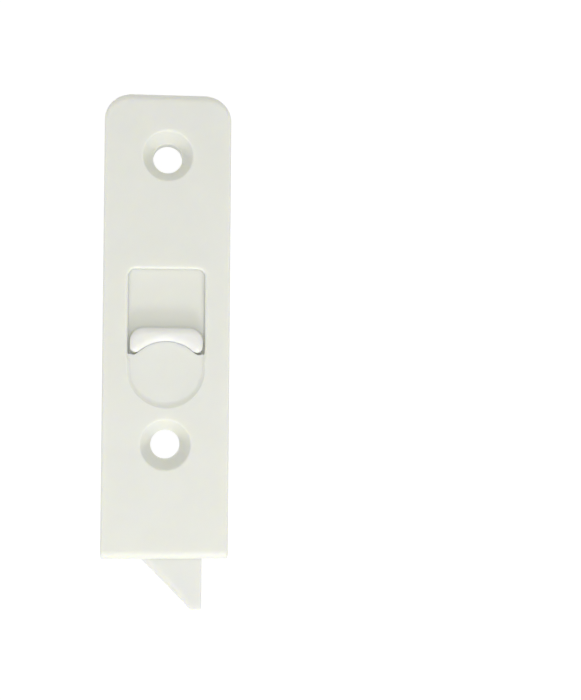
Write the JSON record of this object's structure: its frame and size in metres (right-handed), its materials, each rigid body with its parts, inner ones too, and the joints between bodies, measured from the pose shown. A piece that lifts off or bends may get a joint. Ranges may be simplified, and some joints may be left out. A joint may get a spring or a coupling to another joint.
{
  "type": "sash tilt latch",
  "caption": "Surface-mounted plastic tilt latch for a window sash, with a spring-loaded wedge bolt and a crescent thumb pull sliding in a recessed window.",
  "frame": {"origin": "on the back plane that lies on the sash, midway between the two screw holes", "axes": "+Z out of the face, towards the person using it; +Y along the body from the bolt to the rounded end; +X across the body, on the side of the bolt's straight face"},
  "size_m": [0.0222, 0.0909, 0.0085],
  "materials": {
    "housing_plastic": "warm ivory-white moulded plastic with a soft satin skin",
    "plate_plastic": "warm ivory-white moulded plastic, plain tool finish",
    "bolt_plastic": "slick ivory-white low-friction plastic",
    "slide_plastic": "warm ivory-white moulded plastic, smoothed where the thumb rubs",
    "spring_steel": "bright drawn spring wire"
  },
  "bodies": {
    "case": {"housing": "housing_plastic", "back_plate": "plate_plastic", "return_spring": "spring_steel"},
    "bolt": {"latch_bolt": "bolt_plastic", "thumb_slide": "slide_plastic"}
  },
  "joints": [
    {"name": "bolt_slide", "type": "slide", "parent": "case", "child": "bolt", "axis": [0, 1, 0], "range_m": [0, 0.0095], "stiffness_N_per_m": 300, "springref_m": -0.012, "deforming": ["return_spring"]}
  ]
}
